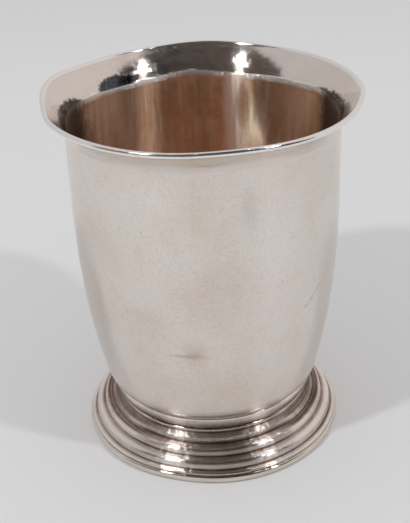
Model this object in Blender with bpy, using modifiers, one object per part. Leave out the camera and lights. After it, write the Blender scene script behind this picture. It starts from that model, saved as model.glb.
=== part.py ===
"""Footed timbale: a raised silver cup with a flared lip, carried on a stepped, moulded foot.

Units are metres and +Z is up. The origin is the centre of the base, on the surface that the cup
stands on. Every piece is a solid of revolution about +Z: a profile in the XZ plane, turned by a Screw
modifier. Profiles are lists of (radius, height) points that run down the outer side of the piece.
"""

import math
from dataclasses import dataclass

import bpy

OBJECT_NAME = "footed_timbale"

# Turning
SEGMENTS = 56
MERGE_DISTANCE = 0.00001
SHARP_ANGLE = math.radians(35)

# Bowl, raised from one sheet
BOWL_HEIGHT = 0.0750
BODY_RADIUS = 0.0326
BOTTOM_RADIUS = 0.0270
BELLY_HEIGHT = 0.0510
BELLY_POWER = 2.4
CORNER_RADIUS = 0.0020
WALL = 0.0006

# Lip, hammered thicker towards its round edge
LIP_HEIGHT = 0.0080
LIP_OVERHANG = 0.00534
RIM_THICKNESS = 0.0013

# Solder that joins the pieces
SOLDER_THICKNESS = 0.00025
SOLDER_INSET = 0.0003

# Collar between the bowl and the foot
COLLAR_HEIGHT = 0.00385
COLLAR_CROWN = 0.0006
COLLAR_PROJECTION = 0.00075
COLLAR_TUCK = 0.0018
COLLAR_WALL = 0.0016

# Wire under the edge of the foot
WIRE_HEIGHT = 0.0020
WIRE_PROJECTION = 0.00055
WIRE_TOP_ROUND = 0.0005
WIRE_BOTTOM_ROUND = 0.0009

# Foot, struck from thicker sheet
FOOT_WALL = 0.0007


@dataclass(frozen=True)
class Step:
    """One step of the foot's moulding.

    run is how far its face stands out from the face above, drop is how far the tread falls on the
    way there, nose is the radius of the rounded edge, and face is the height of its upright side.
    """

    run: float
    drop: float
    nose: float
    face: float


TOP_STEP = Step(run=0.00055, drop=0.0, nose=0.0005, face=0.00085)
NECK_STEP = Step(run=0.00135, drop=0.00145, nose=0.0006, face=0.00095)
MIDDLE_STEP = Step(run=0.0025, drop=0.00045, nose=0.0010, face=0.0016)
WIDE_STEP = Step(run=0.0024, drop=0.0005, nose=0.0011, face=0.00185)
FLANGE_STEP = Step(run=0.0015, drop=0.0004, nose=0.0002, face=0.00035)
STEPS = (TOP_STEP, NECK_STEP, MIDDLE_STEP, WIDE_STEP, FLANGE_STEP)

# Facets of the round stretches
BELLY_FACETS = 10
LIP_FACETS = 6
RIM_FACETS = 5
CORNER_FACETS = 4
NOSE_FACETS = 3
MOULDING_FACETS = 5

# Finish
SILVER = (0.80, 0.77, 0.73, 1.0)
INNER_SILVER = (0.72, 0.68, 0.63, 1.0)
SOLDER_GREY = (0.58, 0.55, 0.51, 1.0)
POLISHED = 0.18
WORN = 0.26
DULL = 0.45


def belly_turn(height):
    """Share of the belly that is still to come at a height above the bowl's underside."""
    return max(0.0, 1.0 - height / BELLY_HEIGHT)


def belly_radius(height):
    """Outside radius of the belly at a height above the bowl's underside."""
    return BODY_RADIUS - (BODY_RADIUS - BOTTOM_RADIUS) * belly_turn(height) ** BELLY_POWER


def belly_lean(height):
    """Angle between the belly and the vertical at a height above the bowl's underside."""
    rate = BELLY_POWER * belly_turn(height) ** (BELLY_POWER - 1.0) / BELLY_HEIGHT
    return math.atan((BODY_RADIUS - BOTTOM_RADIUS) * rate)


# Where the bottom corner meets the belly, and the flat underside that it leaves
CORNER_LEAN = belly_lean(CORNER_RADIUS)
CORNER_TOP = CORNER_RADIUS * (1.0 - math.sin(CORNER_LEAN))
FLAT_RADIUS = belly_radius(CORNER_TOP) - CORNER_RADIUS * math.cos(CORNER_LEAN)

# Radii of the foot, worked outwards from the bowl's flat underside
COLLAR_RADIUS = FLAT_RADIUS + COLLAR_PROJECTION
TUCK_RADIUS = COLLAR_RADIUS - COLLAR_TUCK
COLLAR_BORE_RADIUS = TUCK_RADIUS - COLLAR_WALL
FLANGE_RADIUS = TUCK_RADIUS + sum(step.run for step in STEPS)
WIRE_RADIUS = FLANGE_RADIUS + WIRE_PROJECTION
FOOT_BORE_RADIUS = FLANGE_RADIUS - FLANGE_STEP.run - FOOT_WALL

# Levels of the pieces, stacked up from the base
FOOT_HEIGHT = sum(step.drop + step.face for step in STEPS)
FOOT_LEVEL = WIRE_HEIGHT + SOLDER_THICKNESS
COLLAR_LEVEL = FOOT_LEVEL + FOOT_HEIGHT + SOLDER_THICKNESS
BOWL_LEVEL = COLLAR_LEVEL + COLLAR_HEIGHT + SOLDER_THICKNESS


def oval(centre, half_width, half_height, start, end, facets):
    """Points along an elliptical arc about centre, from one angle above the horizontal to another."""
    points = []
    for i in range(facets + 1):
        angle = start + (end - start) * i / facets
        radius = centre[0] + half_width * math.cos(angle)
        points.append((radius, centre[1] + half_height * math.sin(angle)))
    return points


def bowl_stations():
    """(outside radius, height, lean, thickness) of the bowl's wall, from its underside up to its rim."""
    stations = []
    for i in range(CORNER_FACETS + 1):
        lean = math.pi / 2 + (CORNER_LEAN - math.pi / 2) * i / CORNER_FACETS
        radius = FLAT_RADIUS + CORNER_RADIUS * math.cos(lean)
        stations.append((radius, CORNER_RADIUS * (1.0 - math.sin(lean)), lean, WALL))
    for i in range(1, BELLY_FACETS + 1):
        height = CORNER_TOP + (BELLY_HEIGHT - CORNER_TOP) * i / BELLY_FACETS
        stations.append((belly_radius(height), height, belly_lean(height), WALL))
    neck, flare, sweep = lip_arc()
    for i in range(LIP_FACETS + 1):
        lean = flare * i / LIP_FACETS
        thickness = WALL + (RIM_THICKNESS - WALL) * (i / LIP_FACETS) ** 2
        middle_radius = BODY_RADIUS - WALL / 2 + sweep * (1.0 - math.cos(lean))
        radius = middle_radius + thickness / 2 * math.cos(lean)
        height = neck + sweep * math.sin(lean) - thickness / 2 * math.sin(lean)
        stations.append((radius, height, lean, thickness))
    return stations


def lip_arc():
    """(height where the lip begins, its lean at the rim, radius of its sweep) along the middle of the wall."""
    out = LIP_OVERHANG + WALL / 2 - RIM_THICKNESS / 2
    up = LIP_HEIGHT - RIM_THICKNESS / 2
    flare = 2.0 * math.atan2(out, up)
    return BOWL_HEIGHT - LIP_HEIGHT, flare, up / math.sin(flare)


def bowl_profile():
    """Wall of the bowl, from the middle of its inside, over the round rim, to the middle of its underside."""
    stations = bowl_stations()
    outside = [(radius, height) for radius, height, _, _ in stations]
    inside = [
        (radius - thickness * math.cos(lean), height + thickness * math.sin(lean))
        for radius, height, lean, thickness in stations
    ]
    flare = stations[-1][2]
    edge = (BODY_RADIUS + LIP_OVERHANG - RIM_THICKNESS / 2, BOWL_HEIGHT - RIM_THICKNESS / 2)
    half = RIM_THICKNESS / 2
    rim = oval(edge, half, half, math.pi - flare, -flare, RIM_FACETS)
    return [(0.0, WALL), *inside[:-1], *rim, *outside[-2::-1], (0.0, 0.0)]


def collar_profile():
    """A ring that swells under the bowl and tucks in to the foot."""
    crown_level = COLLAR_HEIGHT - COLLAR_CROWN
    crown_centre = (COLLAR_RADIUS - COLLAR_CROWN, crown_level)
    crown = oval(crown_centre, COLLAR_CROWN, COLLAR_CROWN, math.pi / 2, 0.0, NOSE_FACETS)
    tuck = oval((TUCK_RADIUS, crown_level), COLLAR_TUCK, crown_level, 0.0, -math.pi / 2, MOULDING_FACETS)
    bore = [(COLLAR_BORE_RADIUS, 0.0), (COLLAR_BORE_RADIUS, COLLAR_HEIGHT)]
    return [*crown, *tuck[1:], *bore]


def step_nose(face_radius, corner_level, step):
    """The rounded edge where a step's tread turns into its upright face."""
    fall = math.atan2(step.drop, step.run)
    rise = step.nose * (1.0 - math.sin(fall)) / math.cos(fall)
    centre = (face_radius - step.nose, corner_level - rise)
    return oval(centre, step.nose, step.nose, math.pi / 2 - fall, 0.0, NOSE_FACETS)


def foot_profile():
    """The stepped moulding, and inside it a smooth shell that keeps a wall's thickness below the valleys."""
    outside = []
    valleys = []
    radius = TUCK_RADIUS
    level = FOOT_HEIGHT
    for step in STEPS:
        radius += step.run
        level -= step.drop
        outside.extend(step_nose(radius, level, step))
        level -= step.face
        valleys.append((radius, level))
        outside.append((radius, level))
    outside[-1] = (FLANGE_RADIUS, 0.0)
    inside = [(r - FOOT_WALL, z - FOOT_WALL) for r, z in valleys[:-2]]
    top = [(COLLAR_BORE_RADIUS, FOOT_HEIGHT - FOOT_WALL), (COLLAR_BORE_RADIUS, FOOT_HEIGHT)]
    return [*outside, (FOOT_BORE_RADIUS, 0.0), *reversed(inside), *top]


def wire_profile():
    """A ring with rounded outer edges, flat on top for the foot and flat below to stand on."""
    top_centre = (WIRE_RADIUS - WIRE_TOP_ROUND, WIRE_HEIGHT - WIRE_TOP_ROUND)
    top = oval(top_centre, WIRE_TOP_ROUND, WIRE_TOP_ROUND, math.pi / 2, 0.0, NOSE_FACETS)
    bottom_centre = (WIRE_RADIUS - WIRE_BOTTOM_ROUND, WIRE_BOTTOM_ROUND)
    bottom = oval(bottom_centre, WIRE_BOTTOM_ROUND, WIRE_BOTTOM_ROUND, 0.0, -math.pi / 2, MOULDING_FACETS)
    bore = [(FOOT_BORE_RADIUS, 0.0), (FOOT_BORE_RADIUS, WIRE_HEIGHT)]
    return [*top, *bottom, *bore]


def solder_profile(bore_radius, seat_radius):
    """A thin flat ring of solder, set back from the edges of the seat that it fills."""
    outer = seat_radius - SOLDER_INSET
    inner = bore_radius + SOLDER_INSET
    return [(outer, SOLDER_THICKNESS), (outer, 0.0), (inner, 0.0), (inner, SOLDER_THICKNESS)]


def metal(name, color, roughness):
    """A Principled metal with one colour and one roughness."""
    material = bpy.data.materials.new(name)
    material.use_nodes = True
    shader = material.node_tree.nodes["Principled BSDF"]
    shader.inputs["Base Color"].default_value = color
    shader.inputs["Metallic"].default_value = 1.0
    shader.inputs["Roughness"].default_value = roughness
    material.diffuse_color = color
    return material


def turned(name, profile, level, closed, material, collection, parent):
    """A piece turned from a profile about +Z and set on its level above the base."""
    points = [(radius, 0.0, height) for radius, height in profile]
    edges = [(i, i + 1) for i in range(len(points) - 1)]
    if closed:
        edges.append((len(points) - 1, 0))
    mesh = bpy.data.meshes.new(name)
    mesh.from_pydata(points, edges, [])
    mesh.materials.append(material)
    piece = bpy.data.objects.new(name, mesh)
    collection.objects.link(piece)
    screw = piece.modifiers.new("turning", "SCREW")
    screw.axis = "Z"
    screw.angle = math.tau
    screw.steps = SEGMENTS
    screw.render_steps = SEGMENTS
    screw.use_merge_vertices = True
    screw.merge_threshold = MERGE_DISTANCE
    solid = bpy.data.meshes.new_from_object(piece.evaluated_get(bpy.context.evaluated_depsgraph_get()))
    solid.name = name
    solid.shade_smooth()
    solid.set_sharp_from_angle(angle=SHARP_ANGLE)
    piece.modifiers.remove(screw)
    piece.data = solid
    bpy.data.meshes.remove(mesh)
    piece.location.z = level
    piece.parent = parent
    return piece


def clear_scene():
    """Removes whatever the scene holds."""
    for thing in list(bpy.data.objects):
        bpy.data.objects.remove(thing, do_unlink=True)


def build():
    """Makes every piece of the cup, from the rim down to the base."""
    clear_scene()
    collection = bpy.data.collections.new(OBJECT_NAME)
    bpy.context.scene.collection.children.link(collection)
    axis = bpy.data.objects.new("cup_axis", None)
    collection.objects.link(axis)

    bowl_silver = metal("bowl_silver", SILVER, POLISHED)
    turned("bowl", bowl_profile(), BOWL_LEVEL, False, bowl_silver, collection, axis)

    collar_silver = metal("collar_silver", INNER_SILVER, WORN)
    turned("collar", collar_profile(), COLLAR_LEVEL, True, collar_silver, collection, axis)

    foot_silver = metal("foot_silver", SILVER, WORN)
    turned("foot", foot_profile(), FOOT_LEVEL, True, foot_silver, collection, axis)

    wire_silver = metal("base_wire_silver", SILVER, WORN)
    turned("base_wire", wire_profile(), 0.0, True, wire_silver, collection, axis)

    collar_top = COLLAR_RADIUS - COLLAR_CROWN
    foot_top = TUCK_RADIUS + TOP_STEP.run - TOP_STEP.nose
    seams = (
        ("bowl_solder", COLLAR_BORE_RADIUS, collar_top, BOWL_LEVEL),
        ("collar_solder", COLLAR_BORE_RADIUS, foot_top, COLLAR_LEVEL),
        ("base_solder", FOOT_BORE_RADIUS, FLANGE_RADIUS, FOOT_LEVEL),
    )
    for name, bore, seat, top_level in seams:
        solder = metal(name + "_alloy", SOLDER_GREY, DULL)
        turned(name, solder_profile(bore, seat), top_level - SOLDER_THICKNESS, True, solder, collection, axis)


build()
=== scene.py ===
"""Looks of a footed timbale: a raised silver cup with a flared lip, on a collar and a stepped, moulded foot.

Units are metres and +Z is up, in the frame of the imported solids. Every piece is an outline of a few corners
and curves in the XZ plane, turned about +Z and then moved a little by the marks of hand work and use.
"""

import logging
import math
from abc import ABC, abstractmethod
from dataclasses import dataclass
from enum import Enum

import bmesh
import bpy
from mathutils import Matrix, Vector


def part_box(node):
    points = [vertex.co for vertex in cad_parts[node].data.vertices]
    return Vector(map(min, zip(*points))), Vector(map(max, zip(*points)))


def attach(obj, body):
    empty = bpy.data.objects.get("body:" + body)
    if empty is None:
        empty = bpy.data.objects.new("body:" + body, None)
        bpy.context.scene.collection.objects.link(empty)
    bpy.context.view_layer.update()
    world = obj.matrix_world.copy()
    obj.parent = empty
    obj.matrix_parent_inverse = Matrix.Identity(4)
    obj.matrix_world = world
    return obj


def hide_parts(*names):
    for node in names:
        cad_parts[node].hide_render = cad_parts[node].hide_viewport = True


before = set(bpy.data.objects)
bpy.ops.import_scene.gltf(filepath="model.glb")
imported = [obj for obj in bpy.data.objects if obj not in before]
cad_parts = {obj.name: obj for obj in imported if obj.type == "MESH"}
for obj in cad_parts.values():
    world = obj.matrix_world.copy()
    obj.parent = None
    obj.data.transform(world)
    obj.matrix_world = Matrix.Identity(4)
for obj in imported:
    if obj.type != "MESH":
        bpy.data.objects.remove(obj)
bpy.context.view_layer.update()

log = logging.getLogger("footed_timbale")

Span = tuple[float, float]
Triple = tuple[float, float, float]
Color = tuple[float, float, float, float]
Names = tuple[str, ...]
Socket = bpy.types.NodeSocket
Source = Socket | float | tuple

BODY = "root"
TURN_STEPS = 288
NOSE_SEGMENTS = 8
MERGE_DISTANCE = 1e-7
SIDE_LAYER = "side"
FULL_MASK = 0.5
NOISE_MIDDLE = 0.5
SHARP_ANGLE = math.radians(40)
ACROSS_LINES = 0.25

# Painted shade: grey for the bands down the wall's sides, where it mirrors the cup's shadows on the floor.
PAINTED_SIDE_SHADE: Color = (0.40, 0.36, 0.355, 1.0)
# Painted shade: near black for the inner lip's left and right ends.
LIP_SHADE: Color = (0.036, 0.024, 0.018, 1.0)
# Painted shade: dark brown for the left and right ends of the inside.
END_SHADE: Color = (0.070, 0.045, 0.033, 1.0)
# Painted shade: dark for the sides of the collar and the top steps, which mirror the shadowed floor.
FOOT_SHADE: Color = (0.11, 0.077, 0.060, 1.0)


class Slot(Enum):
    """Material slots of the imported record."""

    BOWL = "bowl_silver"
    FOOT = "foot_silver"
    SOLDER = "solder"


class Mask(Enum):
    """Vertex masks that a finish reads."""

    INSIDE = "inside"
    TARNISH = "tarnish"


class Mark(Enum):
    """Node groups of the marks that several finishes share."""

    LINES = "turning_lines"
    CLOUD = "tarnish_clouds"
    HAIRS = "hair_scratches"
    SPECKS = "pin_specks"
    SPOT = "soft_spot"
    SCORE = "long_scratch"


class Graph:
    """Places and links the nodes of one node tree."""

    def __init__(self, tree: bpy.types.NodeTree) -> None:
        """Keeps the tree that the nodes go into."""
        self.tree = tree

    def add(self, kind: str, inputs: dict[str | int, Source] | None = None, **settings) -> bpy.types.Node:
        """Adds one node.

        Args:
            kind: The node's Blender type.
            inputs: Values or sockets for its inputs, by name or place.
            settings: Properties of the node.

        Returns:
            The new node.
        """
        node = self.tree.nodes.new(kind)
        for name, value in settings.items():
            setattr(node, name, value)
        for key, value in (inputs or {}).items():
            if isinstance(value, Socket):
                self.tree.links.new(value, node.inputs[key])
            else:
                node.inputs[key].default_value = value
        return node

    def math(self, operation: str, first: Source, second: Source = 0.0) -> Socket:
        """Result of one arithmetic step on two values."""
        return self.add("ShaderNodeMath", {0: first, 1: second}, operation=operation).outputs[0]

    def times(self, first: Source, *others: Source) -> Source:
        """Multiplies values.

        Args:
            first: The first value.
            others: The values that it is multiplied by.

        Returns:
            Their product.
        """
        for other in others:
            first = self.math("MULTIPLY", first, other)
        return first

    def total(self, base: Source, *terms: tuple[Source, float]) -> Source:
        """Adds terms to a base.

        Args:
            base: The value to start from.
            terms: Values, each with its factor.

        Returns:
            The sum.
        """
        for value, factor in terms:
            base = self.math("ADD", base, self.math("MULTIPLY", value, factor))
        return base

    def vector(self, operation: str, first: Source, second: Source) -> Socket:
        """Result of one step on two vectors."""
        return self.add("ShaderNodeVectorMath", {0: first, 1: second}, operation=operation).outputs[0]

    def measure(self, operation: str, first: Source, second: Source = (0.0, 0.0, 0.0)) -> Socket:
        """A length, a distance or a product of vectors."""
        return self.add("ShaderNodeVectorMath", {0: first, 1: second}, operation=operation).outputs["Value"]

    def axes(self, vector: Source) -> tuple[Socket, ...]:
        """The three parts of a vector."""
        return tuple(self.add("ShaderNodeSeparateXYZ", {0: vector}).outputs)

    def join(self, x: Source, y: Source, z: Source) -> Socket:
        """A vector of three parts."""
        return self.add("ShaderNodeCombineXYZ", {0: x, 1: y, 2: z}).outputs[0]

    def ramp(self, value: Source, start: Source, full: Source) -> Socket:
        """A smooth step from 0 where a value is at its start to 1 where it is full."""
        inputs = {"Value": value, "From Min": start, "From Max": full}
        return self.add("ShaderNodeMapRange", inputs, interpolation_type="SMOOTHSTEP").outputs["Result"]

    def blend(self, share: Source, first: Source, second: Source) -> Socket:
        """A colour between two others."""
        return self.add("ShaderNodeMix", {0: share, 6: first, 7: second}, data_type="RGBA").outputs[2]

    def noise(self, vector: Source, scale: Source, detail: float, roughness: float) -> Socket:
        """Noise from 0 to 1."""
        inputs = {"Vector": vector, "Scale": scale, "Detail": detail, "Roughness": roughness}
        return self.add("ShaderNodeTexNoise", inputs).outputs["Fac"]


class MarkGraph(Graph):
    """The node group of a shared mark. It reads coordinates, places and values, and puts out a mask."""

    def __init__(self, mark: Mark, output: str, values: Names, places: Names = ()) -> None:
        """Opens the group.

        Args:
            mark: The mark.
            output: Name of the group's output.
            values: Names of its number inputs.
            places: Names of its inputs that are places.
        """
        super().__init__(bpy.data.node_groups.new(mark.value, "ShaderNodeTree"))
        sockets = self.tree.interface
        for place in ("Vector", *places):
            sockets.new_socket(name=place, in_out="INPUT", socket_type="NodeSocketVector")
        for value in values:
            sockets.new_socket(name=value, in_out="INPUT", socket_type="NodeSocketFloat")
        sockets.new_socket(name=output, in_out="OUTPUT", socket_type="NodeSocketFloat")
        self.given = self.add("NodeGroupInput").outputs
        self.put = self.add("NodeGroupOutput").inputs[output]

    def close(self, mask: Socket) -> None:
        """Puts out the mask."""
        self.tree.links.new(mask, self.put)


@dataclass(frozen=True)
class Effects:
    """Builds the node groups of the shared marks."""

    fine_cloud: float = 7.0
    broad_share: float = 0.75
    hair_slants: Triple = (24.0, -38.0, 71.0)
    hair_turns: Triple = (0.4, 1.0, 1.7)
    hair_stretch: Triple = (90.0, 4200.0, 4200.0)
    hair_edge: float = 0.05
    speck_scale: float = 420.0
    speck_size: float = 0.14
    spot_edge: float = 0.575

    def build(self) -> None:
        """Builds every group."""
        self.turning_lines()
        self.tarnish_clouds()
        self.hair_scratches()
        self.pin_specks()
        self.soft_spot()
        self.long_scratch()

    def turning_lines(self) -> None:
        """Fine lines round the axis, left by the polishing wheel."""
        graph = MarkGraph(Mark.LINES, "Lines", ("Length", "Fineness"))
        x, y, z = graph.axes(graph.given["Vector"])
        radius = graph.measure("LENGTH", graph.join(x, y, 0.0))
        length = graph.given["Length"]
        across = graph.times(graph.math("SUBTRACT", z, radius), graph.given["Fineness"])
        stretched = graph.join(graph.times(x, length), graph.times(y, length), across)
        graph.close(graph.noise(stretched, scale=1.0, detail=3.0, roughness=0.6))

    def tarnish_clouds(self) -> None:
        """Soft patches of tarnish, broken up by finer ones."""
        graph = MarkGraph(Mark.CLOUD, "Cloud", ("Scale", "Low", "High"))
        vector = graph.given["Vector"]
        scale = graph.given["Scale"]
        broad = graph.noise(vector, scale, detail=4.0, roughness=0.55)
        fine = graph.noise(vector, graph.times(scale, self.fine_cloud), detail=3.0, roughness=0.6)
        mixed = graph.total(graph.times(broad, self.broad_share), (fine, 1.0 - self.broad_share))
        graph.close(graph.ramp(mixed, graph.given["Low"], graph.given["High"]))

    def hair_scratches(self) -> None:
        """Sparse hairline scratches in three slanting directions."""
        graph = MarkGraph(Mark.HAIRS, "Scratch", ("Threshold",))
        start = graph.given["Threshold"]
        full = graph.math("ADD", start, self.hair_edge)
        found: Source = 0.0
        for slant in self.hair_slants:
            turned = tuple(math.radians(slant * turn) for turn in self.hair_turns)
            inputs = {"Vector": graph.given["Vector"], "Rotation": turned, "Scale": self.hair_stretch}
            placed = graph.add("ShaderNodeMapping", inputs).outputs[0]
            hair = graph.noise(placed, scale=1.0, detail=1.0, roughness=0.5)
            found = graph.math("MAXIMUM", found, graph.ramp(hair, start, full))
        graph.close(found)

    def pin_specks(self) -> None:
        """A few dark pin specks, where tarnish has started to bite."""
        graph = MarkGraph(Mark.SPECKS, "Speck", ("Rarity",))
        inputs = {"Vector": graph.given["Vector"], "Scale": self.speck_scale}
        cells = graph.add("ShaderNodeTexVoronoi", inputs).outputs
        chance = graph.add("ShaderNodeSeparateColor", {0: cells["Color"]}).outputs[0]
        chosen = graph.math("GREATER_THAN", chance, graph.given["Rarity"])
        graph.close(graph.times(graph.ramp(cells["Distance"], self.speck_size, 0.0), chosen))

    def soft_spot(self) -> None:
        """One soft, ragged spot about a place, from 1 in its middle to 0 at its edge."""
        graph = MarkGraph(Mark.SPOT, "Spot", ("Ragged", "Soft"), ("Place", "Reach"))
        vector = graph.given["Vector"]
        soft = graph.given["Soft"]
        offset = graph.vector("SUBTRACT", vector, graph.given["Place"])
        distance = graph.measure("LENGTH", graph.vector("DIVIDE", offset, graph.given["Reach"]))
        noise = graph.noise(vector, scale=700.0, detail=3.0, roughness=0.6)
        uneven = graph.math("SUBTRACT", noise, NOISE_MIDDLE)
        ragged = graph.math("ADD", distance, graph.times(uneven, graph.given["Ragged"]))
        outer = graph.math("ADD", self.spot_edge, soft)
        graph.close(graph.ramp(ragged, outer, graph.math("SUBTRACT", self.spot_edge, soft)))

    def long_scratch(self) -> None:
        """One straight scratch between two places, from 1 along its middle to 0 at its edge."""
        graph = MarkGraph(Mark.SCORE, "Scratch", ("Width",), ("Start", "End"))
        start = graph.given["Start"]
        along = graph.vector("SUBTRACT", graph.given["End"], start)
        offset = graph.vector("SUBTRACT", graph.given["Vector"], start)
        reached = graph.measure("DOT_PRODUCT", offset, along)
        share = graph.math("DIVIDE", reached, graph.measure("DOT_PRODUCT", along, along))
        held = graph.math("MINIMUM", graph.math("MAXIMUM", share, 0.0), 1.0)
        nearest = graph.add("ShaderNodeVectorMath", {0: along, "Scale": held}, operation="SCALE").outputs[0]
        away = graph.measure("LENGTH", graph.vector("SUBTRACT", offset, nearest))
        graph.close(graph.ramp(away, graph.given["Width"], 0.0))


@dataclass(frozen=True)
class Patch:
    """A patch of tint on the silver, real tarnish in some places and painted shade and painted highlights in
    others: its middle, its reach, how strong it is, its tint and how soft its edge is.
    """

    place: Triple
    wide: float
    tall: float
    share: float
    tint: Color = (0.50, 0.37, 0.28, 1.0)
    ragged: float = 1.0
    soft: float = 0.325


class Paint(Graph):
    """The graph of one finish, which lays tints over a bare colour one after another."""

    def __init__(self, tree: bpy.types.NodeTree, color: Color) -> None:
        """Starts from a bare colour and the Object coordinates of the surface."""
        super().__init__(tree)
        self.color: Source = color
        self.spot = self.add("ShaderNodeTexCoord").outputs["Object"]

    def mask(self, mask: Mask) -> Socket:
        """A vertex mask of the piece."""
        return self.add("ShaderNodeAttribute", attribute_name=mask.value).outputs["Fac"]

    def mark(self, mark: Mark, **values: Source) -> Socket:
        """A shared mark, placed with its own values."""
        inputs = {"Vector": self.spot} | {name.title(): value for name, value in values.items()}
        return self.add("ShaderNodeGroup", inputs, node_tree=bpy.data.node_groups[mark.value]).outputs[0]

    def patch(self, patch: Patch) -> Source:
        """Share of a stain at each point of the surface, from 0 outside it."""
        shape = {"place": patch.place, "reach": (patch.wide, patch.wide, patch.tall)}
        return self.times(self.mark(Mark.SPOT, **shape, ragged=patch.ragged, soft=patch.soft), patch.share)

    def grain(self, scale: float, detail: float = 2.0, roughness: float = 0.5) -> Socket:
        """Noise on the surface."""
        return self.noise(self.spot, scale, detail, roughness)

    def tint(self, color: Color, *masks: Source, share: float = 1.0) -> None:
        """Lays a tint on inside some masks."""
        self.color = self.blend(self.times(*masks, share), self.color, color)


Surface = tuple[Source, Source]


class Finish(ABC):
    """A metal finish whose gloss spreads further across its polishing lines than along them."""

    name: str
    base: Color
    anisotropy: float
    metallic: float = 1.0

    @abstractmethod
    def dress(self, paint: Paint) -> Surface:
        """Lays the tints on, and gives the roughness and the height in metres of the surface."""

    def material(self) -> bpy.types.Material:
        """Builds the material.

        Returns:
            The material.
        """
        material = bpy.data.materials.new(self.name)
        material.use_nodes = True
        inputs = material.node_tree.nodes["Principled BSDF"].inputs
        inputs["Metallic"].default_value = self.metallic
        inputs["Anisotropic"].default_value = self.anisotropy
        inputs["Anisotropic Rotation"].default_value = ACROSS_LINES
        paint = Paint(material.node_tree, self.base)
        rough, height = self.dress(paint)
        bump = paint.add("ShaderNodeBump", {"Height": height, "Distance": 1.0, "Strength": 1.0})
        paint.tree.links.new(paint.color, inputs["Base Color"])
        paint.tree.links.new(rough, inputs["Roughness"])
        paint.tree.links.new(bump.outputs["Normal"], inputs["Normal"])
        return material


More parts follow.
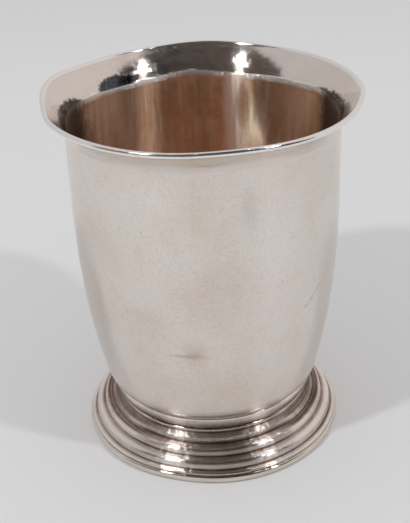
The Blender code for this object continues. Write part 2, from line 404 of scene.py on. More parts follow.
@dataclass(frozen=True)
class BowlSilver(Finish):
    """Finish of the bowl's outside and lip: polished silver under a thin, uneven warm film."""

    name: str = "bowl_outer_finish"
    base: Color = (0.822, 0.760, 0.712, 1.0)
    film: Color = (0.770, 0.684, 0.612, 1.0)
    worn: Color = (0.93, 0.91, 0.89, 1.0)
    speck: Color = (0.30, 0.21, 0.15, 1.0)
    anisotropy: float = 0.97
    metallic: float = 0.95
    roughness: float = 0.13
    lip_roughness: float = 0.09
    cloud_haze: float = 0.02
    line_haze: float = 0.03
    scratch_haze: float = 0.08
    tooth_share: float = 0.16
    tooth_lip_share: float = 0.04
    planish_height: float = 1.4e-5
    hammer_height: float = 2.2e-5
    nick_height: float = 1.6e-4
    line_height: float = 5.0e-6
    scratch_depth: float = 1.5e-6
    score_depth: float = 1.5e-5
    buff_depth: float = 1.1e-5
    lip_level: Span = (0.0828, 0.0842)
    score_start: Triple = (0.02640, -0.01830, 0.04790)
    score_end: Triple = (0.02234, -0.02269, 0.04385)
    score_width: float = 0.00060
    stains_and_painted_light: tuple[Patch, ...] = (
        # Painted highlight: a pale upright band right of the front, where the right lamp's light streaks down
        # the wall.
        Patch((0.0160, -0.0284, 0.0660), 0.0110, 0.0480, 0.42, (0.95, 0.878, 0.845, 1.0), 0.3, soft=0.5),
        # Painted shade: grey bands down the left and right of the wall, standing in for the mirrored floor
        # shadows.
        Patch((-0.0302, -0.0092, 0.0400), 0.0216, 0.0410, 0.25, PAINTED_SIDE_SHADE, ragged=0.1, soft=0.10),
        Patch((0.0285, -0.0130, 0.0400), 0.0085, 0.0400, 0.10, PAINTED_SIDE_SHADE, ragged=0.2, soft=0.4),
        Patch((-0.0060, -0.0306, 0.0363), wide=0.0068, tall=0.0007, share=0.50),
        Patch((-0.0038, -0.0309, 0.0372), wide=0.0042, tall=0.0052, share=0.34, ragged=0.5, soft=0.5),
        Patch((-0.0038, -0.0309, 0.0365), wide=0.0028, tall=0.0016, share=0.40, ragged=0.6),
        Patch((0.0030, -0.0323, 0.0540), 0.0160, 0.0170, 0.12, (0.52, 0.36, 0.28, 1.0)),
        Patch((-0.0150, -0.0285, 0.0450), wide=0.0080, tall=0.0060, share=0.10),
        Patch((0.0095, -0.0312, 0.0740), 0.0030, 0.0085, 0.24, (0.52, 0.50, 0.50, 1.0)),
    )
    lip_painted_shade_and_reflection: tuple[Patch, ...] = (
        # Painted shade: dark patches on the inner lip at its left and right ends.
        Patch((-0.0325, -0.0030, 0.0835), 0.0285, 0.0058, 1.0, LIP_SHADE, ragged=0.35, soft=0.05),
        Patch((0.0325, -0.0030, 0.0825), 0.0370, 0.0061, 1.0, LIP_SHADE, ragged=0.35, soft=0.05),
        # Painted reflection: a dark blue patch on the back of the inner lip, mirroring a dark blue thing in
        # front of the cup.
        Patch((-0.0222, 0.0240, 0.0838), 0.0100, 0.0039, 0.95, (0.022, 0.029, 0.050, 1.0), 0.45, soft=0.08),
    )

    def dress(self, paint: Paint) -> Surface:
        """Dresses the outside and the lip.

        Args:
            paint: The graph of the finish.

        Returns:
            Roughness and height.
        """
        lines = paint.mark(Mark.LINES, length=45.0, fineness=2600.0)
        buffing = paint.mark(Mark.LINES, length=45.0, fineness=6000.0)
        cloud = paint.mark(Mark.CLOUD, scale=60.0, low=0.36, high=0.68)
        scratch = paint.mark(Mark.HAIRS, threshold=0.675)
        lip = paint.ramp(paint.axes(paint.spot)[2], *self.lip_level)
        edge = paint.mask(Mask.INSIDE)
        inner = paint.ramp(edge, start=0.30, full=0.42)
        rim = paint.math("SUBTRACT", paint.ramp(edge, start=0.05, full=0.20), inner)
        crease = paint.ramp(edge, start=0.48, full=0.58)
        ends = {"start": self.score_start, "end": self.score_end, "width": self.score_width}
        breaks = paint.ramp(paint.grain(scale=800.0), start=0.35, full=0.60)
        score = paint.times(paint.mark(Mark.SCORE, **ends), breaks)
        tooth = paint.ramp(paint.grain(scale=1900.0, detail=3.0, roughness=0.65), start=0.46, full=0.66)
        toothed = paint.total(self.tooth_share, (lip, self.tooth_lip_share - self.tooth_share))

        paint.tint(self.film, cloud)
        paint.tint(self.film, paint.ramp(lines, start=0.50, full=0.80), share=0.30)
        paint.tint(self.worn, paint.math("ADD", rim, crease))
        for patch in self.stains_and_painted_light:
            paint.tint(patch.tint, paint.patch(patch))
        for patch in self.lip_painted_shade_and_reflection:
            paint.tint(patch.tint, paint.patch(patch), inner)
        paint.tint(self.speck, paint.mark(Mark.SPECKS, rarity=0.90), share=0.6)
        paint.tint(self.speck, score, share=0.50)
        paint.tint(self.speck, tooth, toothed)
        paint.tint(self.worn, scratch, share=0.45)
        rough = paint.total(
            self.roughness,
            (cloud, self.cloud_haze),
            (lines, self.line_haze),
            (lip, self.lip_roughness - self.roughness),
            (scratch, self.scratch_haze),
        )
        height = paint.total(
            0.0,
            (paint.grain(scale=170.0, detail=1.0), self.planish_height),
            (lines, self.line_height),
            (scratch, -self.scratch_depth),
            (score, -self.score_depth),
            (paint.times(paint.grain(scale=430.0), lip), self.hammer_height),
            (paint.times(paint.ramp(buffing, start=0.56, full=0.70), lip), -self.buff_depth),
            (paint.times(paint.grain(scale=1100.0), crease), self.nick_height),
        )
        return rough, height


@dataclass(frozen=True)
class InnerSilver(Finish):
    """Finish of the bowl's inside: brown with tarnish, brushed round and round, worn bright at the crease."""

    name: str = "bowl_inner_finish"
    base: Color = (0.85, 0.575, 0.395, 1.0)
    dark: Color = (0.60, 0.355, 0.215, 1.0)
    rubbed: Color = (0.92, 0.74, 0.60, 1.0)
    worn: Color = (0.98, 0.94, 0.90, 1.0)
    anisotropy: float = 0.98
    metallic: float = 0.86
    roughness: float = 0.315
    worn_roughness: float = 0.48
    cloud_haze: float = 0.05
    line_haze: float = 0.06
    wear_lift: float = 0.35
    wear_share: float = 0.70
    upright: Triple = (210.0, 210.0, 22.0)
    ripple_height: float = 1.4e-4
    line_height: float = 6.0e-6
    scratch_depth: float = 3.0e-6
    nick_height: float = 2.0e-4
    dent_depth: float = 3.8e-4
    stains_and_painted_light: tuple[Patch, ...] = (
        # Painted shade: dark patches at the left and right ends of the inside.
        Patch((-0.0320, -0.0030, 0.0780), 0.0300, 0.0500, 0.95, END_SHADE, ragged=0.25, soft=0.16),
        Patch((0.0325, -0.0030, 0.0770), 0.0280, 0.0500, 0.95, END_SHADE, ragged=0.12, soft=0.10),
        # Painted highlight: a pale upright streak at the back, where the left lamp's glint runs down the
        # inside.
        Patch((0.0086, 0.0308, 0.0720), 0.0048, 0.0400, 0.85, (1.0, 0.86, 0.76, 1.0), ragged=0.4, soft=0.3),
        # A cleaner, golden patch, also painted brighter as a highlight where the left lamp's glint falls.
        Patch((0.0140, 0.0288, 0.0700), 0.0060, 0.0110, 0.95, (1.0, 0.86, 0.66, 1.0), ragged=0.5),
    )
    dents: tuple[Patch, ...] = (
        Patch((0.0135, 0.0290, 0.0745), wide=0.0046, tall=0.0090, share=1.0, ragged=0.0, soft=0.55),
        Patch((0.0172, 0.0270, 0.0655), wide=0.0046, tall=0.0090, share=1.0, ragged=0.0, soft=0.55),
    )

    def dress(self, paint: Paint) -> Surface:
        """Dresses the inside.

        Args:
            paint: The graph of the finish.

        Returns:
            Roughness and height.
        """
        lines = paint.mark(Mark.LINES, length=40.0, fineness=2200.0)
        cloud = paint.mark(Mark.CLOUD, scale=55.0, low=0.40, high=0.68)
        scratch = paint.mark(Mark.HAIRS, threshold=0.71)
        inside = paint.mask(Mask.INSIDE)
        lifted = paint.math("ADD", inside, self.wear_lift)
        uneven = paint.total(lifted, (paint.grain(scale=240.0), -self.wear_share))
        worn = paint.ramp(uneven, start=1.05, full=0.60)
        edge = paint.times(worn, paint.ramp(inside, start=1.0, full=0.80))
        upright = paint.add("ShaderNodeMapping", {"Vector": paint.spot, "Scale": self.upright}).outputs[0]
        ripple = paint.noise(upright, scale=1.0, detail=4.0, roughness=0.55)
        streaks = paint.noise(upright, scale=3.0, detail=2.0, roughness=0.5)

        paint.tint(self.dark, cloud)
        paint.tint(self.dark, paint.ramp(lines, start=0.48, full=0.75), share=0.45)
        paint.tint(self.rubbed, paint.ramp(ripple, start=0.52, full=0.72), share=0.35)
        paint.tint(self.rubbed, paint.ramp(streaks, start=0.50, full=0.68), share=0.40)
        paint.tint(self.dark, paint.ramp(streaks, start=0.50, full=0.32), share=0.40)
        for patch in self.stains_and_painted_light:
            share = paint.patch(patch)
            paint.tint(patch.tint, share)
            edge = paint.times(edge, paint.math("SUBTRACT", 1.0, share))
        paint.tint(self.worn, edge)
        rough = paint.total(
            self.roughness,
            (lines, self.line_haze),
            (cloud, self.cloud_haze),
            (edge, self.worn_roughness - self.roughness),
        )
        height = paint.total(
            0.0,
            (ripple, self.ripple_height),
            (lines, self.line_height),
            (scratch, -self.scratch_depth),
            (paint.times(paint.grain(scale=1100.0), edge), self.nick_height),
            *((paint.patch(dent), -self.dent_depth) for dent in self.dents),
        )
        return rough, height


@dataclass(frozen=True)
class MouldingSilver(Finish):
    """Finish of collar, foot and base wire: bright on the noses, brown on the faces, dark in the valleys."""

    name: str
    base: Color = (0.95, 0.885, 0.835, 1.0)
    film: Color = (0.29, 0.192, 0.140, 1.0)
    oxide: Color = (0.040, 0.027, 0.020, 1.0)
    anisotropy: float = 0.97
    roughness: float = 0.22
    tread_roughness: float = 0.37
    line_haze: float = 0.05
    scratch_haze: float = 0.08
    even_film: float = 0.72
    cloud_film: float = 0.45
    stray_film: float = 0.10
    planish_height: float = 8.0e-5
    dull_height: float = 1.5e-4
    line_height: float = 1.2e-6
    scratch_depth: float = 1.5e-6
    streak_start: Span = (0.0135, 0.0185)
    stains_and_painted_light: tuple[Patch, ...] = (
        # Painted shade: darker patches at the sides of the collar and top steps, where they mirror the
        # shadowed floor.
        Patch((-0.0245, -0.0080, 0.0105), 0.0190, 0.0065, 0.48, FOOT_SHADE, ragged=0.5, soft=0.2),
        Patch((0.0245, -0.0080, 0.0105), 0.0190, 0.0065, 0.48, FOOT_SHADE, ragged=0.5, soft=0.2),
    )

    def dress(self, paint: Paint) -> Surface:
        """Dresses a moulding.

        Args:
            paint: The graph of the finish.

        Returns:
            Roughness and height.
        """
        lines = paint.mark(Mark.LINES, length=70.0, fineness=5200.0)
        streaks = paint.mark(Mark.LINES, length=30.0, fineness=2400.0)
        cloud = paint.mark(Mark.CLOUD, scale=90.0, low=0.40, high=0.66)
        scratch = paint.mark(Mark.HAIRS, threshold=0.70)
        tarnish = paint.mask(Mask.TARNISH)
        tread = paint.ramp(tarnish, start=0.04, full=0.14)
        uneven = paint.total(self.even_film, (cloud, self.cloud_film))
        brown = paint.times(paint.ramp(tarnish, start=0.0, full=0.8), uneven)
        brown = paint.math("MINIMUM", paint.total(brown, (cloud, self.stray_film)), 1.0)
        across = paint.math("ABSOLUTE", paint.axes(paint.spot)[0])
        aside = paint.ramp(across, *self.streak_start)
        aside = paint.times(aside, paint.ramp(tarnish, start=0.25, full=0.60))

        paint.tint(self.film, brown)
        paint.tint(self.film, paint.ramp(lines, start=0.48, full=0.74), share=0.40)
        paint.tint(self.oxide, paint.ramp(tarnish, start=0.80, full=1.0))
        paint.tint(self.oxide, paint.mark(Mark.SPECKS, rarity=0.86), share=0.7)
        paint.tint(self.base, paint.ramp(streaks, start=0.50, full=0.62), aside, share=0.28)
        paint.tint(self.oxide, paint.ramp(streaks, start=0.50, full=0.38), aside, share=0.60)
        for patch in self.stains_and_painted_light:
            paint.tint(patch.tint, paint.patch(patch))
        rough = paint.total(
            self.roughness,
            (lines, self.line_haze),
            (tread, self.tread_roughness - self.roughness),
            (scratch, self.scratch_haze),
        )
        height = paint.total(
            0.0,
            (paint.grain(scale=420.0, detail=1.0), self.planish_height),
            (paint.times(paint.grain(scale=480.0, detail=1.0), tread), self.dull_height),
            (lines, self.line_height),
            (scratch, -self.scratch_depth),
        )
        return rough, height


@dataclass(frozen=True)
class SolderAlloy(Finish):
    """Finish of the solder seams: dull grey alloy with dark flux stain."""

    name: str
    base: Color = (0.42, 0.38, 0.34, 1.0)
    flux: Color = (0.07, 0.05, 0.04, 1.0)
    anisotropy: float = 0.0
    roughness: float = 0.42
    grain_haze: float = 0.2
    grain_height: float = 1.0e-5

    def dress(self, paint: Paint) -> Surface:
        """Dresses a seam.

        Args:
            paint: The graph of the finish.

        Returns:
            Roughness and height.
        """
        grain = paint.grain(scale=2500.0, roughness=0.6)
        paint.tint(self.flux, paint.mark(Mark.CLOUD, scale=240.0, low=0.38, high=0.62))
        return paint.total(self.roughness, (grain, self.grain_haze)), paint.times(grain, self.grain_height)


@dataclass(frozen=True)
class Knock:
    """A soft knock: its bearing from +X in degrees, its height, its spread and how far it moves the wall."""

    bearing: float
    height: float
    spread: float
    tall: float
    push: float = 0.0
    lift: float = 0.0


@dataclass(frozen=True)
class HandWork:
    """Marks of hand raising and of use, which move every piece alike so that the seams stay closed."""

    knocks: tuple[Knock, ...] = (
        Knock(bearing=88.0, height=0.0890, spread=17.0, tall=0.0080, push=0.00100, lift=0.00025),
        Knock(bearing=97.0, height=0.0832, spread=7.0, tall=0.0030, lift=0.00050),
        Knock(bearing=126.0, height=0.0832, spread=16.0, tall=0.0030, lift=-0.00060),
        Knock(bearing=72.0, height=0.0832, spread=15.0, tall=0.0030, lift=-0.00050),
        Knock(bearing=24.0, height=0.0832, spread=11.0, tall=0.0030, lift=0.00100),
        Knock(bearing=165.0, height=0.0890, spread=16.0, tall=0.0060, push=0.00036, lift=0.00110),
        Knock(bearing=190.0, height=0.0890, spread=10.0, tall=0.0060, push=-0.00058, lift=-0.00022),
        Knock(bearing=280.0, height=0.0890, spread=18.0, tall=0.0050, lift=0.00045),
        Knock(bearing=345.0, height=0.0890, spread=14.0, tall=0.0060, push=-0.00021, lift=0.00051),
        Knock(bearing=254.0, height=0.0010, spread=18.0, tall=0.0035, push=-0.00050),
    )

    def moved(self, point: Vector) -> Vector:
        """Where a point of the ideal turned shape ends up.

        Args:
            point: A point of the turned shape.

        Returns:
            The point on the real, slightly uneven shape.
        """
        radius = math.hypot(point.x, point.y)
        if radius < MERGE_DISTANCE:
            return point.copy()
        bearing = math.atan2(point.y, point.x)
        push = 0.0
        lift = 0.0
        for knock in self.knocks:
            turned = math.remainder(bearing - math.radians(knock.bearing), math.tau)
            away = turned / math.radians(knock.spread)
            over = (point.z - knock.height) / knock.tall
            share = math.exp(-away * away - over * over)
            push += knock.push * share
            lift += knock.lift * share
        grown = (radius + push) / radius
        return Vector((point.x * grown, point.y * grown, point.z + lift))


@dataclass(frozen=True)
class Corner:
    """A corner of an outline: its place, where its rounding starts, its mask and what the sides add to it."""

    radius: float
    height: float
    rounding: float = 0.0
    mask: float = 0.0
    side: float = 0.0


def oval(centre: Span, half: Span, start: float, end: float, facets: int, mask: float = 0.0) -> list[Corner]:
    """Corners along an elliptical arc.

    Args:
        centre: Radius and height of the arc's centre.
        half: Its half width and half height.
        start: Angle above the horizontal where it starts.
        end: Angle where it ends.
        facets: Number of stretches.
        mask: Mask of every corner.

    Returns:
        The corners, from start to end.
    """
    corners = []
    for i in range(facets + 1):
        angle = start + (end - start) * i / facets
        radius = centre[0] + half[0] * math.cos(angle)
        corners.append(Corner(radius, centre[1] + half[1] * math.sin(angle), mask=mask))
    return corners


@dataclass
class TurnedPiece(ABC):
    """A piece of the cup that is turned about +Z. It stands for one solid of the frame."""

    name: str
    node: str
    slot: Slot = Slot.FOOT
    mask: Mask = Mask.TARNISH
    closed: bool = True
    # Bearings away from the front, which faces the camera, over which the masks change to their side values.
    rubbed: Span = (math.radians(32), math.radians(52))

    @abstractmethod
    def outline(self) -> list[Corner]:
        """Corners of the piece's section, at their real radius and height."""

    @abstractmethod
    def finishes(self) -> tuple[Finish, ...]:
        """The finish of the piece, and a second one for faces whose mask is full, if it has one."""

    def aside(self, point: Vector) -> float:
        """How far a point lies from the front of the cup, which faces the camera.

        Args:
            point: A point of the piece.

        Returns:
            A share from 0 in front to 1 at the sides and the back.
        """
        front, end = self.rubbed
        away = abs(math.remainder(math.atan2(point.y, point.x) + math.pi / 2, math.tau))
        share = min(1.0, max(0.0, (away - front) / (end - front)))
        return share * share * (3.0 - 2.0 * share)

    def mesh(self, hand: HandWork) -> bpy.types.Mesh:
        """Turns the outline into a closed mesh.

        Args:
            hand: The marks of hand work and use.

        Returns:
            The piece's mesh.
        """
        shape = bmesh.new()
        layer = shape.verts.layers.float.new(self.mask.value)
        side = shape.verts.layers.float.new(SIDE_LAYER)
        corners = self.outline()
        points = [shape.verts.new((corner.radius, 0.0, corner.height)) for corner in corners]
        for first, second in zip(points, points[1:]):
            shape.edges.new((first, second))
        if self.closed:
            shape.edges.new((points[-1], points[0]))
        for corner, point in zip(corners, points):
            point[layer] = corner.mask
            point[side] = corner.side
        for corner, point in zip(corners, points):
            if corner.rounding > 0.0:
                bmesh.ops.bevel(
                    shape, geom=[point], offset=corner.rounding, offset_type="OFFSET", affect="VERTICES",
                    segments=NOSE_SEGMENTS, profile=0.5, material=-1,
                )
        bmesh.ops.spin(
            shape, geom=shape.verts[:] + shape.edges[:], cent=(0.0, 0.0, 0.0), axis=(0.0, 0.0, 1.0),
            angle=math.tau, steps=TURN_STEPS, use_merge=True,
        )
        bmesh.ops.remove_doubles(shape, verts=shape.verts[:], dist=MERGE_DISTANCE)
        bmesh.ops.recalc_face_normals(shape, faces=shape.faces[:])
        if len(self.finishes()) > 1:
            for face in shape.faces:
                face.material_index = int(all(vertex[layer] > FULL_MASK for vertex in face.verts))
        for vertex in shape.verts:
            vertex[layer] += vertex[side] * self.aside(vertex.co)
            vertex.co = hand.moved(vertex.co)
        mesh = bpy.data.meshes.new(self.name)
        shape.to_mesh(mesh)
        shape.free()
        mesh.attributes.remove(mesh.attributes[SIDE_LAYER])
        mesh.shade_smooth()
        mesh.set_sharp_from_angle(angle=SHARP_ANGLE)
        return mesh

    def build(self, hand: HandWork) -> bpy.types.Object:
        """Makes the piece, dresses it and sets it in the frame.

        Args:
            hand: The marks of hand work and use.

        Returns:
            The finished piece.
        """
        mesh = self.mesh(hand)
        for finish in self.finishes():
            mesh.materials.append(finish.material())
        piece = bpy.data.objects.new(self.name, mesh)
        bpy.context.scene.collection.objects.link(piece)
        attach(piece, BODY)
        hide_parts(self.node)
        return piece


@dataclass(frozen=True)
class Station:
    """A place on the wall's course: outside radius, height, lean, thickness, inside mask and roundings."""

    radius: float
    height: float
    lean: float
    thickness: float
    mask: float = 1.0
    rounding: float = 0.0
    ease: float = 0.0

    def outer(self, low: float) -> Corner:
        """The outside corner, above a floor level."""
        return Corner(self.radius, low + self.height, rounding=self.ease)

    def inner(self, low: float) -> Corner:
        """The inside corner, above a floor level."""
        height = low + self.height + self.thickness * math.sin(self.lean)
        return Corner(self.radius - self.thickness * math.cos(self.lean), height, self.rounding, self.mask)


@dataclass
class Bowl(TurnedPiece):
    """The cup's wall, raised from one sheet: flat bottom, round belly, straight wall and flared lip."""

    slot: Slot = Slot.BOWL
    mask: Mask = Mask.INSIDE
    closed: bool = False
    body_radius: float = 0.0326
    bottom_radius: float = 0.0270
    belly_height: float = 0.0510
    belly_power: float = 2.4
    corner_radius: float = 0.0020
    wall: float = 0.0006
    lip_rise: float = 0.0067
    lip_edge: float = 0.00112
    rim_thickness: float = 0.0013
    crease: float = math.radians(24)
    crease_rounding: float = 0.00025
    crease_ease: float = 0.0006
    crease_mask: float = 0.6
    worn_band: float = 0.0014
    lip_mask: float = 0.45
    rim_mask: float = 0.22
    corner_facets: int = 6
    belly_facets: int = 26
    wall_facets: int = 6
    lip_facets: int = 12

    def belly_turn(self, height: float) -> float:
        """Share of the belly that is still to come at a height above the underside."""
        return max(0.0, 1.0 - height / self.belly_height)

    def belly_radius(self, height: float) -> float:
        """Outside radius of the belly at a height above the underside."""
        swell = self.body_radius - self.bottom_radius
        return self.body_radius - swell * self.belly_turn(height) ** self.belly_power

    def belly_lean(self, height: float) -> float:
        """Angle between the belly and the vertical at a height above the underside."""
        rate = self.belly_power * self.belly_turn(height) ** (self.belly_power - 1.0) / self.belly_height
        return math.atan((self.body_radius - self.bottom_radius) * rate)

    def belly(self) -> list[Station]:
        """Course of the wall from the round corner at the bottom up to the top of the belly.

        Returns:
            The stations, from the bottom upwards.
        """
        corner_lean = self.belly_lean(self.corner_radius)
        corner_top = self.corner_radius * (1.0 - math.sin(corner_lean))
        flat_radius = self.belly_radius(corner_top) - self.corner_radius * math.cos(corner_lean)
        found = []
        for i in range(self.corner_facets + 1):
            lean = math.pi / 2 + (corner_lean - math.pi / 2) * i / self.corner_facets
            radius = flat_radius + self.corner_radius * math.cos(lean)
            found.append(Station(radius, self.corner_radius * (1.0 - math.sin(lean)), lean, self.wall))
        for i in range(1, self.belly_facets + 1):
            height = corner_top + (self.belly_height - corner_top) * i / self.belly_facets
            found.append(Station(self.belly_radius(height), height, self.belly_lean(height), self.wall))
        return found

    def lip(self, rim_radius: float, rim_height: float) -> list[Station]:
        """Course of the wall from the top of the belly, through the crease, up to the rim.

        Args:
            rim_radius: Radius of the rim's outer edge.
            rim_height: Height of the rim above the underside.

        Returns:
            The stations, from the belly to the rim.
        """
        out = rim_radius - self.rim_thickness / 2 - self.body_radius + self.wall / 2
        up = self.lip_rise - self.rim_thickness / 2
        flare = 2.0 * math.atan2(out, up) - self.crease
        sweep = math.hypot(out, up) / (2.0 * math.sin((flare - self.crease) / 2))
        crease_height = rim_height - self.lip_rise
        worn_height = crease_height - self.worn_band
        found = []
        for i in range(1, self.wall_facets + 1):
            height = self.belly_height + (worn_height - self.belly_height) * i / self.wall_facets
            found.append(Station(self.body_radius, height, 0.0, self.wall))
        bend = self.crease / 2
        rounds = (self.crease_mask, self.crease_rounding, self.crease_ease)
        found.append(Station(self.body_radius, crease_height, bend, self.wall / math.cos(bend), *rounds))
        for i in range(1, self.lip_facets + 1):
            lean = self.crease + (flare - self.crease) * i / self.lip_facets
            thickness = self.wall + (self.lip_edge - self.wall) * (i / self.lip_facets) ** 2
            middle = self.body_radius - self.wall / 2 + sweep * (math.cos(self.crease) - math.cos(lean))
            rise = crease_height + sweep * (math.sin(lean) - math.sin(self.crease))
            radius = middle + thickness / 2 * math.cos(lean)
            height = rise - thickness / 2 * math.sin(lean)
            found.append(Station(radius, height, lean, thickness, self.lip_mask))
        return found

    def outline(self) -> list[Corner]:
        """Section of the wall.

        Returns:
            The corners, from the middle of the inside, over the round rim, to the middle of the underside.
        """
        low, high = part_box(self.node)
        stations = self.belly() + self.lip(high.x, high.z - low.z)
        outside = [station.outer(low.z) for station in stations[:-1]]
        inside = [station.inner(low.z) for station in stations[:-1]]
        flare = stations[-1].lean
        half = self.rim_thickness / 2
        edge = (high.x - half, high.z - half)
        bead = math.acos(self.lip_edge / self.rim_thickness)
        start = math.pi - flare + bead
        rim = oval(edge, (half, half), start, -flare - bead, 3 * NOSE_SEGMENTS, self.rim_mask)
        middle_inside = Corner(0.0, low.z + self.wall, mask=1.0)
        return [middle_inside, *inside, *rim, *reversed(outside), Corner(0.0, low.z)]

    def finishes(self) -> tuple[Finish, ...]:
        """Polished silver outside and on the lip, brown silver inside."""
        return BowlSilver(), InnerSilver()


@dataclass
class Collar(TurnedPiece):
    """The ring between the bowl and the foot: it swells under the bowl and tucks in to the foot."""

    crown: float = 0.0006
    crown_share: float = 0.98
    tuck: float = 0.0018
    wall: float = 0.0016
    tuck_facets: int = 12
    tuck_shade: float = 0.65

    def outline(self) -> list[Corner]:
        """Section of the ring.

        Returns:
            The corners, from its crown down the tuck and up its bore.
        """
        low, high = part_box(self.node)
        level = high.z - self.crown
        tuck_radius = high.x - self.tuck
        bore = tuck_radius - self.wall
        tuck = oval((tuck_radius, level), (self.tuck, level - low.z), 0.0, -math.pi / 2, self.tuck_facets)
        shaded = [
            Corner(corner.radius, corner.height, mask=(i / self.tuck_facets) ** self.tuck_shade)
            for i, corner in enumerate(tuck)
        ]
        top = [Corner(bore, high.z), Corner(high.x, high.z, rounding=self.crown * self.crown_share)]
        return [*top, *shaded, Corner(bore, low.z, mask=1.0)]

    def finishes(self) -> tuple[Finish, ...]:
        """Silver that darkens where the collar tucks in."""
        return (MouldingSilver("collar_finish"),)


@dataclass(frozen=True)
class Step:
    """One step of the moulding: how far its face stands out, how far its tread falls, its nose and its face.

    The masks give the tarnish of its tread and its face in front. The sides add to the back and the edge of
    its tread, to its face and to the valley behind it.
    """

    run: float
    drop: float
    nose: float
    face: float
    tread_mask: float
    face_mask: float
    tread_side: float = 0.0
    edge_side: float = 0.0
    face_side: float = 0.0
    valley_side: float = 0.0

    def spread(self, lean: float) -> float:
        """How much further out the foot of the face is than its top."""
        return self.face * math.tan(lean)


@dataclass
class Foot(TurnedPiece):
    """The stepped foot, struck from thicker sheet and hollow below."""

    wall: float = 0.0007
    bore_radius: float = 0.0228
    crevice: float = 0.00042
    nose_mask: float = 0.05
    nose_film: float = 0.40
    under_mask: float = 0.6
    tread_fades: Triple = (1.0, 0.9, 0.55)
    face_lean: float = math.radians(11)
    nose_facets: int = 8
    steps: tuple[Step, ...] = (
        Step(0.00055, 0.0, 0.0005, 0.00085, tread_mask=1.0, face_mask=0.05),
        Step(0.00135, 0.00145, 0.0006, 0.00095, 0.40, 0.30, 0.48, 0.40, face_side=-0.30, valley_side=-0.50),
        Step(0.0025, 0.00045, 0.0010, 0.0016, 0.36, 0.16, 0.44, 0.60, face_side=-0.10, valley_side=-0.80),
        Step(0.0024, 0.0005, 0.0011, 0.00185, 0.38, 0.12, 0.20, -0.14, face_side=0.20, valley_side=-0.45),
        Step(0.0015, 0.0004, 0.0002, 0.00035, 0.16, 0.05, 0.20, -0.09, face_side=-0.05, valley_side=-0.20),
    )

    def rise(self, step: Step, radius: float, level: float, spread: float) -> list[Corner]:
        """Outline of one step, from the valley at the back of its tread to the foot of its face.

        Args:
            step: The step.
            radius: Radius where the face above it would stand without its lean.
            level: Height of the valley.
            spread: How far the lean of the face above moves the valley out.

        Returns:
            The corners, from the valley outwards and down.
        """
        run = step.run - spread
        fall = math.atan2(step.drop, run)
        tread = math.hypot(run, step.drop)
        setback = step.nose * math.tan((math.pi / 2 - fall - self.face_lean) / 2)
        flat = tread - setback - 2 * self.crevice
        found = [Corner(radius + spread, level, mask=1.0, side=step.valley_side)]
        for i, fade in enumerate(self.tread_fades if flat > 0.0 else ()):
            along = i / (len(self.tread_fades) - 1)
            share = (self.crevice + flat * along) / tread
            out = radius + spread + run * share
            side = step.tread_side + (step.edge_side - step.tread_side) * along
            found.append(Corner(out, level - step.drop * share, mask=step.tread_mask * fade, side=side))
        top = level - step.drop
        turn = math.cos(self.face_lean)
        slope = math.sin(self.face_lean)
        centre_radius = radius + step.run + setback * slope - step.nose * turn
        centre_level = top - setback * turn - step.nose * slope
        for i in range(self.nose_facets + 1):
            share = i / self.nose_facets
            angle = math.pi / 2 - fall + (self.face_lean - math.pi / 2 + fall) * share
            out = centre_radius + step.nose * math.cos(angle)
            dirty = max(0.0, 2.0 * share - 1.0)
            mask = self.nose_mask + (step.face_mask - self.nose_mask) * dirty
            side = step.face_side * dirty + step.edge_side * max(0.0, 1.0 - share / self.nose_film)
            found.append(Corner(out, centre_level + step.nose * math.sin(angle), mask=mask, side=side))
        if step.face > setback + 2 * self.crevice:
            out = radius + step.run + step.spread(self.face_lean) * (1.0 - self.crevice / step.face)
            down = top - step.face + self.crevice
            found.append(Corner(out, down, mask=step.face_mask, side=step.face_side))
        return found

    def outline(self) -> list[Corner]:
        """Section of the foot: steps outside, and a shell that keeps its thickness below the valleys.

        Returns:
            The corners, from the top outwards and down, and back under the shell.
        """
        low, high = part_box(self.node)
        radius = high.x - sum(step.run for step in self.steps)
        level = high.z
        spread = 0.0
        outside = []
        under = []
        for step in self.steps:
            rise = self.rise(step, radius, level, spread)
            outside += rise
            under.append(Corner(rise[0].radius - self.wall, level - self.wall, mask=self.under_mask))
            radius += step.run
            level -= step.drop + step.face
            spread = step.spread(self.face_lean)
        outside.append(Corner(high.x, low.z))
        edge = Corner(high.x - self.steps[-1].run - self.wall, low.z, mask=self.under_mask)
        bore = Corner(self.bore_radius, high.z - self.wall, mask=self.under_mask)
        return [*outside, edge, *reversed(under[1:-1]), bore, Corner(self.bore_radius, high.z, mask=1.0)]

    def finishes(self) -> tuple[Finish, ...]:
        """Silver that is bright on the noses and dark in the valleys."""
        return (MouldingSilver("foot_finish"),)


@dataclass(kw_only=True)
class Ring(TurnedPiece):
    """A flat ring with rounded outer edges."""

    bore: float
    top_round: float
    bottom_round: float
    top_mask: float = 0.0
    under_mask: float = 0.0

    def outline(self) -> list[Corner]:
        """Section of the ring.

        Returns:
            The corners, from its bore over its top and back below.
        """
        low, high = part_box(self.node)
        return [
            Corner(self.bore, high.z, mask=self.top_mask),
            Corner(high.x, high.z, rounding=self.top_round),
            Corner(high.x, low.z, rounding=self.bottom_round),
            Corner(self.bore, low.z, mask=self.under_mask),
        ]


@dataclass(kw_only=True)
class BaseWire(Ring):
    """The round-edged wire under the foot, flat on top for the foot and flat below to stand on."""

    bore: float = 0.0305
    top_round: float = 0.0005
    bottom_round: float = 0.0009
    top_mask: float = 0.8
    under_mask: float = 0.5
    silver: Color = (0.83, 0.765, 0.69, 1.0)
    roughness: float = 0.14

    def finishes(self) -> tuple[Finish, ...]:
        """Silver that is rubbed bright on its edge."""
        return (MouldingSilver("base_wire_finish", base=self.silver, roughness=self.roughness),)


@dataclass(kw_only=True)
class SolderSeam(Ring):
    """A thin ring of solder with a soft outer edge, set back in the seat that it fills."""

    slot: Slot = Slot.SOLDER
    top_round: float = 0.00008
    bottom_round: float = 0.00008

    def finishes(self) -> tuple[Finish, ...]:
        """Dull grey alloy."""
        return (SolderAlloy(self.name + "_finish"),)


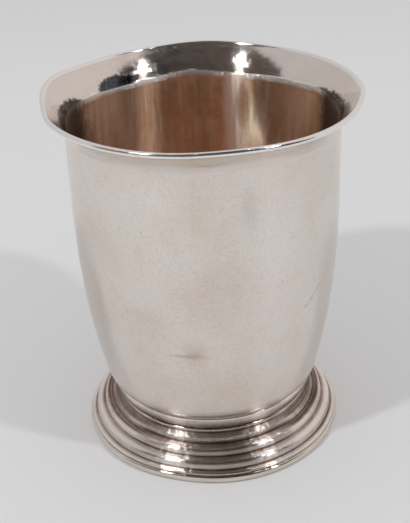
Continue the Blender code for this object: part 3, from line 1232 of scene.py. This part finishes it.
@dataclass(frozen=True)
class Lamp:
    """A round, soft lamp: its bearing to the right of the camera, its elevation, its distance and its light.

    Its irradiance is what reaches the cup, and its width is an angle seen from there.
    """

    name: str
    bearing: float
    elevation: float
    distance: float
    irradiance: float
    width: float = 0.055

    def place(self) -> None:
        """Sets the lamp up."""
        data = bpy.data.lights.new(self.name, "POINT")
        data.energy = self.irradiance * 4.0 * math.pi * self.distance**2
        data.shadow_soft_size = self.distance * self.width / 2
        lamp = bpy.data.objects.new(self.name, data)
        across = math.radians(self.bearing)
        up = math.radians(self.elevation)
        to_lamp = Vector((math.sin(across) * math.cos(up), -math.cos(across) * math.cos(up), math.sin(up)))
        lamp.location = to_lamp * self.distance
        bpy.context.scene.collection.objects.link(lamp)


@dataclass
class Studio:
    """A pale floor, two soft lamps, a pale backdrop in a dim room, and the camera."""

    floor_half: float = 3.0
    floor_gap: float = 0.00005
    floor_color: Color = (0.80, 0.80, 0.805, 1.0)
    floor_shade: Color = (0.785, 0.785, 0.79, 1.0)
    floor_far_painted_light: Color = (0.88, 0.88, 0.885, 1.0)
    floor_fade: Span = (-0.05, 0.30)
    floor_roughness: float = 0.9
    backdrop: Color = (0.62, 0.62, 0.625, 1.0)
    backdrop_left: Color = (0.556, 0.54, 0.545, 1.0)
    backdrop_right: Color = (0.68, 0.64, 0.625, 1.0)
    backdrop_edge: float = 0.03
    edge_waver: float = 0.35
    fill: Color = (0.57, 0.57, 0.57, 1.0)
    room: Color = (0.074, 0.056, 0.046, 1.0)
    room_cool: Color = (0.004, 0.006, 0.011, 1.0)
    room_mottle: float = 6.0
    reach: float = 0.19
    hood: float = 0.20
    hood_power: float = 6.0
    lamps: tuple[Lamp, ...] = (
        Lamp("right_lamp", bearing=58.6, elevation=47.2, distance=0.909, irradiance=0.523),
        Lamp("left_lamp", bearing=-49.7, elevation=52.9, distance=0.620, irradiance=0.653),
    )
    camera_back: float = 0.2322
    camera_height: float = 0.17313
    camera_pitch: float = 0.5058
    camera_yaw: float = -0.0034
    camera_roll: float = -0.0399
    camera_lens: float = 72.01
    sensor: float = 36.0

    def floor(self) -> None:
        """Lays the floor, which is faintly cloudy and painted paler in the distance to make up for the lamps'
        fall-off.
        """
        shape = bmesh.new()
        bmesh.ops.create_grid(shape, x_segments=1, y_segments=1, size=self.floor_half)
        bmesh.ops.translate(shape, verts=shape.verts[:], vec=(0.0, 0.0, -self.floor_gap))
        mesh = bpy.data.meshes.new("floor")
        shape.to_mesh(mesh)
        shape.free()
        material = bpy.data.materials.new("pale_card")
        material.use_nodes = True
        inputs = material.node_tree.nodes["Principled BSDF"].inputs
        inputs["Roughness"].default_value = self.floor_roughness
        inputs["Specular IOR Level"].default_value = 0.0
        paint = Paint(material.node_tree, self.floor_color)
        paint.tint(self.floor_shade, paint.grain(scale=14.0, detail=3.0))
        # Painted light: the floor is paler towards the back, so it looks evenly lit though the lamps fall
        # off.
        paint.tint(self.floor_far_painted_light, paint.ramp(paint.axes(paint.spot)[1], *self.floor_fade))
        paint.tree.links.new(paint.color, inputs["Base Color"])
        mesh.materials.append(material)
        floor = bpy.data.objects.new("floor", mesh)
        bpy.context.scene.collection.objects.link(floor)

    def surroundings(self) -> None:
        """Sets the world: a pale backdrop behind and beside the cup, a dim room before it, an even fill."""
        world = bpy.data.worlds.new("studio_room")
        world.use_nodes = True
        graph = Graph(world.node_tree)
        path = graph.add("ShaderNodeLightPath").outputs
        way = graph.add("ShaderNodeTexCoord").outputs["Generated"]
        x, y, z = graph.axes(way)
        hood = graph.times(graph.math("POWER", z, self.hood_power), self.hood)
        inside = graph.math("SUBTRACT", graph.math("ADD", y, self.reach), hood)
        noise = graph.noise(way, scale=9.0, detail=5.0, roughness=0.7)
        uneven = graph.math("SUBTRACT", noise, NOISE_MIDDLE)
        edge = graph.total(inside, (uneven, self.edge_waver))
        pale = graph.ramp(edge, -self.backdrop_edge, self.backdrop_edge)
        cooler = graph.ramp(graph.total(x, (uneven, self.room_mottle)), start=-0.3, full=0.7)
        room = graph.blend(cooler, self.room, self.room_cool)
        sides = graph.blend(graph.ramp(x, start=-0.9, full=0.9), self.backdrop_left, self.backdrop_right)
        mirrored = graph.blend(pale, room, sides)
        filled = graph.blend(path["Is Diffuse Ray"], mirrored, self.fill)
        seen = graph.blend(path["Is Camera Ray"], filled, self.backdrop)
        graph.tree.links.new(seen, world.node_tree.nodes["Background"].inputs["Color"])
        bpy.context.scene.world = world

    def camera(self) -> None:
        """Sets the camera where the photograph was taken from."""
        data = bpy.data.cameras.new("camera")
        data.lens = self.camera_lens
        data.sensor_width = self.sensor
        camera = bpy.data.objects.new("camera", data)
        turn = Matrix.Rotation(-self.camera_yaw, 4, "Z")
        tilt = Matrix.Rotation(math.pi / 2 - self.camera_pitch, 4, "X")
        roll = Matrix.Rotation(self.camera_roll, 4, "Z")
        place = Matrix.Translation((0.0, -self.camera_back, self.camera_height))
        camera.matrix_world = place @ turn @ tilt @ roll
        bpy.context.scene.collection.objects.link(camera)
        bpy.context.scene.camera = camera

    def build(self) -> None:
        """Sets up the floor, the lamps, the surroundings and the camera."""
        self.floor()
        for lamp in self.lamps:
            lamp.place()
        self.surroundings()
        self.camera()
        bpy.context.scene.view_settings.view_transform = "Standard"


def main() -> None:
    """Builds the studio and every piece of the cup, from the rim down to the base."""
    logging.basicConfig(level=logging.INFO, format="%(name)s: %(message)s")
    Studio().build()
    Effects().build()
    hand = HandWork()
    pieces = (
        Bowl("silver_bowl", "bowl"),
        Collar("silver_collar", "collar"),
        Foot("silver_foot", "foot"),
        BaseWire("silver_base_wire", "base_wire"),
        SolderSeam("bowl_seam", "bowl_solder", bore=0.0231),
        SolderSeam("collar_seam", "collar_solder", bore=0.0231),
        SolderSeam("base_seam", "base_solder", bore=0.0308),
    )
    for piece in pieces:
        made = piece.build(hand)
        log.info("%s: %d faces, stands for %s", made.name, len(made.data.polygons), piece.node)


if __name__ == "__main__":
    main()
